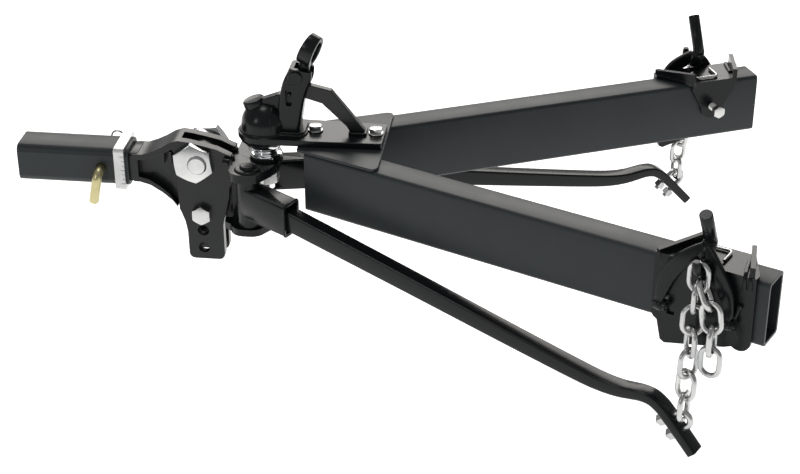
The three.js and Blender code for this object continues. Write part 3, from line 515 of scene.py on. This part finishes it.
def cams_and_bolts():
    for label, side in SIDES.items():
        start = vec(CAM_CENTRE[0], side * (CHEEK_Y + GAP), CAM_CENTRE[1])
        end = vec(CAM_CENTRE[0], side * (CHEEK_Y + GAP + CAM_THICK), CAM_CENTRE[1])
        shape = tilted(hexagon(start, end, CAM_FLATS, both=False), start, CAM_TILT)
        piece(f"tilt_cam_{label}_plate", shape, ROOT, [f"tilt_cam_{label}"], "bright_zinc", 0.5)
    x, z = PIVOT
    near = -(CHEEK_Y + GAP + CAM_THICK + 5)
    far = CHEEK_Y + 2 * GAP + CAM_THICK + PIVOT_NUT["thick"] + 6
    head = round_bar(vec(x, -CHEEK_Y, z), vec(x, near, z), PIVOT_R, 2.6)
    shaft = stud(vec(x, 0, z), vec(x, far, z), PIVOT_R, 2.4, 0.7)
    piece("pivot_bolt_body", joined(head, shaft), ROOT, ["pivot_bolt"], "bright_zinc")
    start = CHEEK_Y + 2 * GAP + CAM_THICK
    nut = hexagon(vec(x, start, z), vec(x, start + PIVOT_NUT["thick"], z), PIVOT_NUT["flats"], PIVOT_R + GAP)
    nut = tilted(nut, vec(x, start, z), PIVOT_NUT["tilt"])
    piece("pivot_nut_body", nut, ROOT, ["pivot_nut"], "bright_zinc", 0.3)
    x, z = DROP
    inner = -(CHEEK_Y + GAP)
    head = hexagon(vec(x, inner, z), vec(x, inner - 12, z), DROP_FLATS, both=False)
    shaft = stud(vec(x, inner + 1, z), vec(x, CHEEK_Y + 24, z), BOLT_R, 2.2, 0.72)
    piece("drop_bolt_body", joined(head, shaft), ROOT, ["drop_bolt"], "bright_zinc", 0.2)
    start = CHEEK_Y + GAP
    nut = hexagon(vec(x, start, z), vec(x, start + 16, z), DROP_FLATS, BOLT_R + GAP)
    piece("drop_nut_body", nut, ROOT, ["drop_bolt_nut"], "bright_zinc", 0.2)


def ball():
    base = HEAD_TOP + 3 + GAP
    neck = 17
    join = -math.degrees(math.acos(neck / BALL_R))
    sphere = arc(0, BALL_Z, BALL_R, join, 80, 36)
    profile = [(0, -34), (11.8, -34), (BALL_SHANK_R, -33), (BALL_SHANK_R, base), (25.4, base)]
    profile += [(26, base + 0.8), (26, base + 4.2), (25.2, base + 5), (20, base + 6.2)]
    profile += arc(neck + 5, base + 11.5, 5, 250, 180, 5)
    profile += sphere + [(0, sphere[-1][1])]
    shape = turned(lambda angle: profile, vec(BALL_X, 0, 0), vec(0, 0, 1), 64)
    piece("hitch_ball_turned", shape, ROOT, ["hitch_ball"], "ball_chrome")
    top = HEAD_UNDER - 2 * GAP - 4
    nut = hexagon(vec(BALL_X, 0, top - 23), vec(BALL_X, 0, top), BALL_NUT_FLATS, BALL_SHANK_R + GAP)
    piece("ball_nut_body", nut, ROOT, ["ball_nut"], "bright_zinc", 0.3)


def trunnion(label, side):
    x = TRUNNION[0]
    y = side * TRUNNION[1]
    shaft = round_bar(vec(x, y, FLANGE_BOTTOM - 6), vec(x, y, HEAD_TOP + 4), 9.5, 1)
    head = round_bar(vec(x, y, HEAD_TOP + 3 + GAP), vec(x, y, HEAD_TOP + 7), 13, 1, 11)
    name = f"trunnion_pin_{label}"
    piece(name + "_turned", joined(shaft, head), ROOT, [name], "gloss_black")


def head_details():
    """Raised rings over the trunnions, and the two stop lugs at the front edge of the head plate."""
    for label, side in SIDES.items():
        centre = vec(TRUNNION[0], side * TRUNNION[1], HEAD_TOP)
        profile = [(13.6, 3.3), (17.4, 3.3), (19.6, 2.2), (21.4, 0.4), (21.4, -1), (13.6, -1)]
        ring = turned(lambda angle: profile + [profile[0]], centre, vec(0, 0, 1), 56)
        piece(f"trunnion_ring_{label}", ring, ROOT, [], "gloss_black")
        for name, x, y in (("front", 345, 31), ("rear", 350, 15)):
            lug = round_bar(vec(x + 6, side * y, HEAD_TOP + 1), vec(x - 5, side * y, HEAD_TOP + 3.5), 5.2, 1.4)
            piece(f"stop_lug_{name}_{label}", lug, ROOT, [], "gloss_black")


head_details()
hitch_pin()
pin_clip()
cams_and_bolts()
ball()


# ---------- A-frame and coupler ----------
FRAME_BODY = "trailer_frame"
refined("gusset_plate", FRAME_BODY, "charcoal_paint", 0.8)


def cut_away(obj, tool):
    """Difference of two meshes, worked out once and stored."""
    modifier = obj.modifiers.new("cut", "BOOLEAN")
    modifier.object = tool
    modifier.operation = "DIFFERENCE"
    modifier.solver = "EXACT"
    bpy.context.view_layer.update()
    graph = bpy.context.evaluated_depsgraph_get()
    mesh = bpy.data.meshes.new_from_object(obj.evaluated_get(graph))
    obj.modifiers.clear()
    obj.data = mesh


def rough_object(name, shape):
    """Welded object that is still to be cut."""
    mesh = mesh_of(name, shape)
    weld(mesh)
    return add_object(name, mesh)


def coupler():
    base = COUPLER_BASE
    top = COUPLER_TOP
    rear = NOSE_X + 122
    room = BALL_R + 1.8
    ball_axis = vec(BALL_X, 0, 0)
    hollow_profile = [(0, base - 30), (room, base - 30)] + arc(0, BALL_Z, room, 0, 88, 20) + [(0, BALL_Z + room)]
    hollow = rough_object("hollow", turned(lambda angle: hollow_profile, ball_axis, vec(0, 0, 1), 48))
    # the dome is one drawn shell with a rolled rim and a second step above it
    dome_profile = [(0, base - 6.8), (38, base - 6.8), (39.6, base - 5.4), (41.1, base + 2), (41.1, top - 2.6)]
    dome_profile += arc(39.5, top - 1.2, 1.7, -10, 80, 4) + [(38.6, top + 2), (38.2, top + 5)]
    dome_profile += arc(0, top + 10, DOME_R, 2, 86, 26) + [(0, top + 10 + DOME_R)]
    dome = rough_object("coupler_dome", turned(lambda angle: dome_profile, ball_axis, vec(0, 0, 1), 80))
    cut_away(dome, hollow)
    dress(dome, FRAME_BODY, ["coupler_casting"], "gloss_black", 0, 42)
    outline = arc(BALL_X, 0, 43, 80, 280, 40)
    outline += [(470, -41)] + arc(rear - 5, -32, 5, -90, 0, 5) + arc(rear - 5, 32, 5, 0, 90, 5) + [(470, 41)]
    flange = rough_object("coupler_flange", prism(outline, top - base, lambda x, y, d: vec(x, y, base + d)))
    cut_away(flange, hollow)
    dress(flange, FRAME_BODY, [], "gloss_black", 1.2)
    bpy.data.objects.remove(hollow)

    # tower: a tapering body with a rounded section, open at the top for the handle
    stations = [(444, -2, 20), (447, 24, 21), (452, 56, 21.5)]
    stations += [(458, 80, 22), (465, 96, 21.5), (468, 109.6, 19.5)]
    line = smooth_run([vec(x, 0, top + z) for x, z, half in stations], 5)
    halves = smooth_run([vec(half, 0, 0) for x, z, half in stations], 5)
    last = len(line) - 1
    body = rough_object("coupler_tower", sweep(
        line, lambda share: rounded(halves[round(share * last)].x - 1.5, 18.9, 6.5, 5), side=vec(1, 0, 0)))
    slot = rough_object("slot", prism([(457, -11), (503, -11), (503, 11), (457, 11)], 50,
                                      lambda x, y, d: vec(x, y, top + 78 + d)))
    cut_away(body, slot)
    bpy.data.objects.remove(slot)
    for side in (-1, 1):
        pocket = rough_object("pocket", prism(
            [(x + TOWER_X, z + top + 63) for x, z in rounded(5, 14, 3.5, 4)], 9,
            lambda x, z, d, side=side: vec(x, side * (12 + d), z)))
        cut_away(body, pocket)
        bpy.data.objects.remove(pocket)
        name = "near" if side < 0 else "far"
        rivet = round_bar(vec(TOWER_X, side * 11, top + 66), vec(TOWER_X, side * 16, top + 66), 3.4, 0.8)
        piece(f"latch_rivet_{name}", rivet, FRAME_BODY, [], "gloss_black")
        # thumb pad standing proud of the flank
        pad = [(446, top + 88), (466, top + 87), (471, top + 92)]
        pad += arc(462, top + 99, 9.2, 0, 90, 7) + arc(458, top + 99, 9.2, 90, 170, 7)
        shape = prism(pad, 5.6, lambda x, z, d, side=side: vec(x, side * (17.4 + d), z))
        piece(f"coupler_pad_{name}", shape, FRAME_BODY, [], "gloss_black", 1.3)
    dress(body, FRAME_BODY, [], "gloss_black", 0.9)
    web = [(396, top + 34), (400, top + 52), (431, top + 64), (441, top + 60), (441, top), (420, top)]
    piece("coupler_web", prism(web, 17, lambda x, z, d: vec(x, d - 8.5, z)), FRAME_BODY, [], "gloss_black", 3)
    skirt = rounded(24.5, 25, 10, 6)
    piece("coupler_skirt", prism(skirt, 8, lambda x, y, d: vec(x + TOWER_X, y, top - 2 + d)),
          FRAME_BODY, [], "gloss_black", 1.8)
    # seam of the two halves of the dome, and the weld bead round the foot of the tower
    seam = []
    reach = DOME_R + 0.2
    tilt = math.radians(24)
    ring = reach * math.cos(tilt)
    for i in range(33):
        angle = math.radians(-90 + 180 * i / 32)
        seam.append(vec(BALL_X + reach * math.sin(tilt), ring * math.sin(angle),
                        top + 10 + ring * math.cos(angle)))
    piece("coupler_seam", rod(seam, 1.5, 10), FRAME_BODY, [], "gloss_black")
    bead = []
    steps = 96
    squareness = 0.45
    for i in range(steps):
        angle = 2 * math.pi * i / steps
        reach = 25.5 + 0.5 * math.sin(i * 1.9)
        bead.append(vec(TOWER_X + reach * math.copysign(abs(math.cos(angle)) ** squareness, math.cos(angle)),
                        reach * math.copysign(abs(math.sin(angle)) ** squareness, math.sin(angle)), top + 0.8))
    piece("coupler_bead", rod(bead, 2.3, 8, closed=True), FRAME_BODY, [], "gloss_black")
    strap = [(474, top + 82), (514, top + 73), (566, top + 8), (570, top - 1), (545, top - 1), (538, top + 12),
             (499, top + 50), (472, top + 58)]
    piece("coupler_strap", prism(strap, 12, lambda x, z, d: vec(x, d - 6, z)), FRAME_BODY, [], "gloss_black", 1.4,
          look="cast_black")
    foot = rounded(14.5, 13, 4, 5)
    piece("coupler_foot", prism(foot, 6, lambda x, y, d: vec(x + STRAP_FOOT_X, y, top - 1 + d)),
          FRAME_BODY, [], "gloss_black", 1.4)
    axis = vec(-0.298, 0, 0.954).normalized()
    start = vec(387.6, 0, top + 50.6) - axis * 26
    knob_profile = [(0, 0), (17.2, 0), (16.6, 9), (16.6, 12), (17.6, 13.4), (17.8, 23.4), (17.2, 25), (15.6, 26),
                    (13.4, 25.4), (0, 25.8)]
    piece("coupler_knob", turned(lambda angle: knob_profile, start, axis, 56), FRAME_BODY, [], "gloss_black")
    for name, x in (("front", COUPLER_BOLTS[0]), ("rear", COUPLER_BOLTS[1])):
        low = top + GAP
        washer = round_bar(vec(x, 0, low), vec(x, 0, low + 2.4), 12, 0.6)
        head = hexagon(vec(x, 0, low + 2.2), vec(x, 0, low + 10), SMALL_FLATS, both=False)
        shaft = round_bar(vec(x, 0, base + 1), vec(x, 0, low + 4), SMALL_BOLT_R)
        piece(f"coupler_bolt_{name}_set", joined(washer, head, shaft), FRAME_BODY,
              [f"coupler_bolt_{name}"], "bright_zinc", 0.2)


def latch():
    lean = vec(math.sin(0.42), 0, math.cos(0.42))
    forward = vec(-lean.z, 0, lean.x)
    across = (vec(0, 1, 0) - forward * math.tan(LOOP_TURN)).normalized()
    through = across.cross(lean).normalized()
    foot = vec(465, 0, COUPLER_TOP + 96)
    points = [foot + lean * (LOOP["centre"] + LOOP["half"] * a) + across * (LOOP["across"] * y) + forward * 2
              for y, a in arc(0, 0, 1, -80, 260, 56)]

    def band(share):
        half = 9 + 3 * abs(math.cos(math.pi * share))
        return rounded(half, 4.2, 2, 3)

    loop = sweep(points, band, side=through)
    stem = turned(lambda angle: [(0, 2), (9, 2), (9.6, 3), (8.6, 28), (7.6, 30), (0, 30)], foot, lean, 32)
    boss = round_bar(foot + lean * 14 + vec(4, -10, 0), foot + lean * 14 + vec(4, 10, 0), 6.5, 1)
    piece("coupler_latch_loop", joined(loop, stem, boss), "latch", ["coupler_latch"], "gloss_black", 0.7)


coupler()
latch()


# ---------- bars, U-bolts, brackets and chains ----------
def spring_bar(label, side):
    at = bar_frame(side)[2]
    stations = smooth_run([vec(s, z, h) for s, z, h in BAR_LINE], 5)
    points = [at(v.x, 0, v.y) for v in stations]
    count = len(points) - 1

    def section(t):
        half = stations[round(t * count)].z
        return rounded(half, BAR_WIDTH / 2, 3.2, 3)

    shape = sweep(points, section, side=vec(0, 0, 1))
    name = f"spring_bar_{label}"
    piece(name + "_forged", shape, f"bar_{label}", [name], "gloss_black", 0, 50)


def ubolt_seat():
    (s0, z0, h0), (s1, z1, h1) = BAR_LINE[-2:]
    start = vec(s0, 0, z0)
    end = vec(s1, 0, z1)
    along = (end - start).normalized()
    up = vec(-along.z, 0, along.x)
    return start.lerp(end, UBOLT_PLACE), up


def u_bolt(label, side):
    foot, up = ubolt_seat()
    along = vec(up.z, 0, -up.x)
    place = bar_frame(side)[2]

    def at(a, b):
        p = foot + along * a + up * b
        return place(p.x, 0, p.z)

    points = [at(-UBOLT_HALF, -8), at(-UBOLT_HALF, UBOLT_RISE)]
    points += [at(x, z) for x, z in arc(0, UBOLT_RISE, UBOLT_HALF, 180, 0, 20)[1:-1]]
    points += [at(UBOLT_HALF, UBOLT_RISE), at(UBOLT_HALF, -8)]
    shapes = [rod(points, BOW_R, 20)]
    for k in (-UBOLT_HALF, UBOLT_HALF):
        shapes.append(stud(at(k, -6), at(k, -25), BOW_R, 1.6, 0.1))
        shapes.append(hexagon(at(k, -9), at(k, -20), UBOLT_FLATS))
    name = f"u_bolt_{label}"
    piece(name + "_bow", joined(*shapes), f"bar_{label}", [name], "bright_zinc", 0)


def yoke(label, side):
    out, at = rail_frame(side)[1:]

    def leg(s, lean):
        points = [(s, YOKE_OFF, YOKE_Z + 2), (s, YOKE_OFF + 0.5, YOKE_Z + 20)]
        points += [(s + lean * 8, YOKE_OFF, YOKE_Z + 50), (s + lean * 26, YOKE_OFF - 2, YOKE_Z + 79)]
        points += [(719, 3, 86)]
        return smooth_run([at(*p) for p in points], 8)

    def section(t):
        thick = 3.4 + 1.2 * t
        wide = 2.6 + 9.6 * math.sin(math.pi * 0.72 * t)
        return rounded(thick, wide, min(thick, wide) * 0.55, 3)

    shapes = []
    for s, lean in ((YOKE_PIVOTS[0], 1), (YOKE_PIVOTS[1], -1)):
        shapes.append(sweep(leg(s, lean), section, side=out + vec(0, 0, 0.2)))
        reach = EYE_HALF + GAP + 4.5 + 2.5
        for half, radius, edge in ((EYE_HALF, EYE_R, 0.9), (reach, YOKE_PIN_R, 0.7)):
            shapes.append(round_bar(at(s - half, YOKE_OFF, YOKE_Z), at(s + half, YOKE_OFF, YOKE_Z), radius, edge))
    shapes.append(round_bar(at(722, -9, 92), at(723, 24, 150), 9.5, 1.4))
    shapes.append(round_bar(at(718, 6, 70), at(722, -9, 96), 10.5, 2.5))
    run = smooth_run([at(*p) for p in (
        (HOOK["s"] - 2, 0, HOOK["z"] + 14), (HOOK["s"] - 1, 9, HOOK["z"] + 3),
        (HOOK["s"], HOOK["off"] - 6, HOOK["z"]), (HOOK["s"], HOOK["off"] + 6, HOOK["z"]),
        (HOOK["s"], HOOK["off"] + 13, HOOK["z"] + 8), (HOOK["s"], HOOK["off"] + 14, HOOK["z"] + 20))], 6)
    shapes.append(sweep(run, lambda t: circle(HOOK["radius"] * (1 if t < 0.93 else 0.8), 18)))
    name = f"yoke_{label}"
    piece(name + "_forged", joined(*shapes), name + "_body", [name], "gloss_black", 0, 45)


def safety_clip(label, side):
    at = rail_frame(side)[2]
    z = RAIL_TOP + GAP + SHEET + 3
    flat = [(741, -14), (741, -40)] + arc(735, -40, 6, 0, -90, 6)[1:] + arc(708, -40, 6, 270, 180, 6)
    flat += arc(708, -26, 6, 180, 100, 6)
    points = [at(s, off, z) for s, off in flat]
    name = f"safety_clip_{label}"
    piece(name + "_wire", rod(points, 2.2, 12), name + "_body", [name], "bright_zinc")


def set_bolt(label, side):
    at = rail_frame(side)[2]
    head = hexagon(at(729, -76, 14), at(729, -86, 14), SMALL_FLATS, both=False)
    shaft = stud(at(729, -77, 14), at(729, -RAIL_WIDTH - GAP - 0.2, 14), SMALL_BOLT_R, 1.6)
    name = f"set_bolt_{label}"
    piece(name + "_body", joined(head, shaft), FRAME_BODY, [name], "bright_zinc", 0.2)


def link(top, down, facing, inner):
    """Welded oval link with a slight bulge at the weld."""
    down = down.normalized()
    across = (facing - down * facing.dot(down)).normalized()
    radius = (LINK_INSIDE + WIRE) / 2
    straight = (inner - LINK_INSIDE) / 2
    centre = top + down * (inner / 2)
    path = arc(0, straight, radius, 0, 180, 12)
    path += [(-radius, straight * k) for k in (0.5, 0.2, 0, -0.2, -0.5)]
    path += arc(0, -straight, radius, 180, 360, 12)
    path += [(radius, straight * k) for k in (-0.5, 0, 0.5)]
    points = [centre + across * x - down * y for x, y in path]
    weld = 15 / (len(points) - 1)

    def section(t):
        return circle(WIRE / 2 * (1 + 0.045 * math.exp(-((t - weld) / 0.02) ** 2)), 16)

    return sweep(points, section, closed=True)


def bow_seat(side):
    foot, up = ubolt_seat()
    p = foot + up * UBOLT_RISE
    return bar_frame(side)[2](p.x, 0, p.z + UBOLT_HALF - BOW_R - BOW_PLAY)


def socket_lip(label, side):
    """Flared edge round the socket's mouth, on its upper and inner sides."""
    at = bar_frame(side)[2]
    slope = math.tan(math.radians(7))
    reach = 84
    middle = -33.5 - reach * slope
    outline = rounded(19, 27, 5.5, 6)
    points = [at(reach - 1.2, y, middle + z) for y, z in outline]
    piece(f"socket_lip_{label}", rod(points, 1.9, 10, closed=True), f"socket_{label}", [], "gloss_black")


def saddle_details(label, side):
    """Keeper rod beside the rear pivot, and two ribs over the rear edge of the sheet."""
    at = rail_frame(side)[2]
    face = GAP + SHEET
    rod_points = [at(779, face + 3, 13), at(771, face + 3, -16)]
    shapes = [rod(rod_points, 2.4, 12)]
    for p in rod_points:
        shapes.append(round_bar(p - vec(0, 0, 3.6), p + vec(0, 0, 3.6), 3.6, 1.4))
    top = RAIL_TOP + GAP + SHEET
    for s in (781, 789):
        knots = [at(s - 10, -34, top + 1), at(s - 4, -8, top + 1.4), at(s, 4.5, top - 1), at(s + 1, 7, top - 20)]
        rib = smooth_run(knots, 6)
        shapes.append(sweep(rib, lambda share: rounded(2.4, 3, 1.6, 3), side=vec(0, 0, 1)))
    piece(f"saddle_details_{label}", joined(*shapes), FRAME_BODY, [], "gloss_black")


def chain(label, side):
    along, out, at = rail_frame(side)
    down = vec(0, 0, -1)
    seat = at(HOOK["s"], HOOK["off"], HOOK["z"] + HOOK["radius"] + GAP)
    name = f"chain_{label}_1"
    piece(name + "_link", link(seat, down, along, LINK_LENGTH), f"hooked_link_{label}", [name], "bright_zinc")
    bend = LINK_LENGTH - LINK_INSIDE / 2
    start = seat - along * 2.6 + down * (bend + 2.6 + WIRE / 2)
    line = bow_seat(side) - start
    pitch = line.length / RUN_LINKS
    line.normalize()
    for i in range(RUN_LINKS):
        facing = Matrix.Rotation(side * (i + 1) * RUN_TWIST, 3, line) @ along
        name = f"chain_{label}_{i + 2}"
        shape = link(start + line * (i * pitch), line, facing, pitch + LINK_GAP)
        piece(name + "_link", shape, f"chain_run_{label}", [name], "bright_zinc")
    top = seat + along * 5.1 + down * (bend - 7 + WIRE / 2)
    before = None
    for i, (lean, outward, face) in enumerate(TAIL):
        direction = (down + along * lean + out * outward).normalized()
        if before:
            top = top + before * (LINK_LENGTH + WIRE / 2) - direction * (WIRE / 2 + TAIL_GAP)
        angle = math.radians(face)
        facing = along * math.cos(angle) + out * math.sin(angle)
        name = f"chain_tail_{label}_{i + 1}"
        shape = link(top, direction, facing, LINK_LENGTH)
        piece(name + "_link", shape, f"chain_tail_{label}_body", [name], "bright_zinc")
        before = direction


for label, side in SIDES.items():
    refined(f"rail_{label}", FRAME_BODY, "charcoal_paint", 0.7)
    refined(f"saddle_{label}", FRAME_BODY, "gloss_black", 1.0)
    refined(f"bar_socket_{label}", f"socket_{label}", "gloss_black", 1.2)
    trunnion(label, side)
    spring_bar(label, side)
    u_bolt(label, side)
    yoke(label, side)
    safety_clip(label, side)
    set_bolt(label, side)
    socket_lip(label, side)
    saddle_details(label, side)
    chain(label, side)


# ---------- stage, light and camera ----------
def stage():
    size = 14.0
    clear_below = 0.16
    level = cad_box[0][2] - clear_below
    mesh = bpy.data.meshes.new("floor")
    mesh.from_pydata([(-size, -size, level), (size, -size, level), (size, size, level), (-size, size, level)],
                     [], [(0, 1, 2, 3)])
    floor = add_object("floor", mesh)
    mat = bpy.data.materials.new("floor_white")
    mat.use_nodes = True
    shader = mat.node_tree.nodes["Principled BSDF"]
    shader.inputs["Base Color"].default_value = (0.93, 0.93, 0.925, 1)
    shader.inputs["Roughness"].default_value = 1
    shader.inputs["Specular IOR Level"].default_value = 0
    shader.inputs["Emission Color"].default_value = (1, 1, 0.995, 1)
    shader.inputs["Emission Strength"].default_value = 0.72
    mesh.materials.append(mat)


def lamp(name, spot, target, size, power, colour=(1, 1, 1)):
    data = bpy.data.lights.new(name, "AREA")
    data.shape = "RECTANGLE"
    data.size, data.size_y = size
    data.energy = power
    data.color = colour
    obj = add_object(name, data)
    obj.location = spot
    obj.rotation_euler = (Vector(target) - Vector(spot)).to_track_quat("-Z", "Y").to_euler()
    obj.visible_camera = False


def lights():
    world = bpy.data.worlds.new("studio")
    bpy.context.scene.world = world
    world.use_nodes = True
    world.node_tree.nodes["Background"].inputs["Color"].default_value = (1, 1, 1, 1)
    world.node_tree.nodes["Background"].inputs["Strength"].default_value = 0.3
    middle = (0.6, 0, 0)
    lamp("behind", (0.35, 2.7, 1.75), middle, (3.4, 1.7), 72, (1, 0.97, 0.93))
    lamp("overhead", (0.2, 0.2, 2.8), middle, (0.8, 0.8), 12)
    lamp("front", (-1.4, -2.4, 1.5), middle, (0.7, 0.9), 9)


def camera():
    """Angles, distance and target of the eye, with the lens as a share of the sensor's width."""
    azimuth = math.radians(7.04)
    elevation = math.radians(28.90)
    roll = math.radians(-0.16)
    distance = 2.88322
    target = Vector((0.62333, -0.01189, -0.10764))
    lens_per_width = 2.214725
    back = Vector((math.sin(azimuth) * math.cos(elevation), -math.cos(azimuth) * math.cos(elevation),
                   math.sin(elevation)))
    right = Vector((0, 0, 1)).cross(back).normalized()
    up = back.cross(right)
    tilted = right * math.cos(roll) + up * math.sin(roll)
    up = back.cross(tilted)
    data = bpy.data.cameras.new("camera")
    data.sensor_width = 36
    data.lens = data.sensor_width * lens_per_width
    data.clip_end = 60
    obj = add_object("camera", data)
    turn = Matrix((tilted, up, back)).transposed().to_4x4()
    obj.matrix_world = Matrix.Translation(target + back * distance) @ turn
    bpy.context.scene.camera = obj


stage()
lights()
camera()
bpy.context.scene.view_settings.view_transform = "Standard"
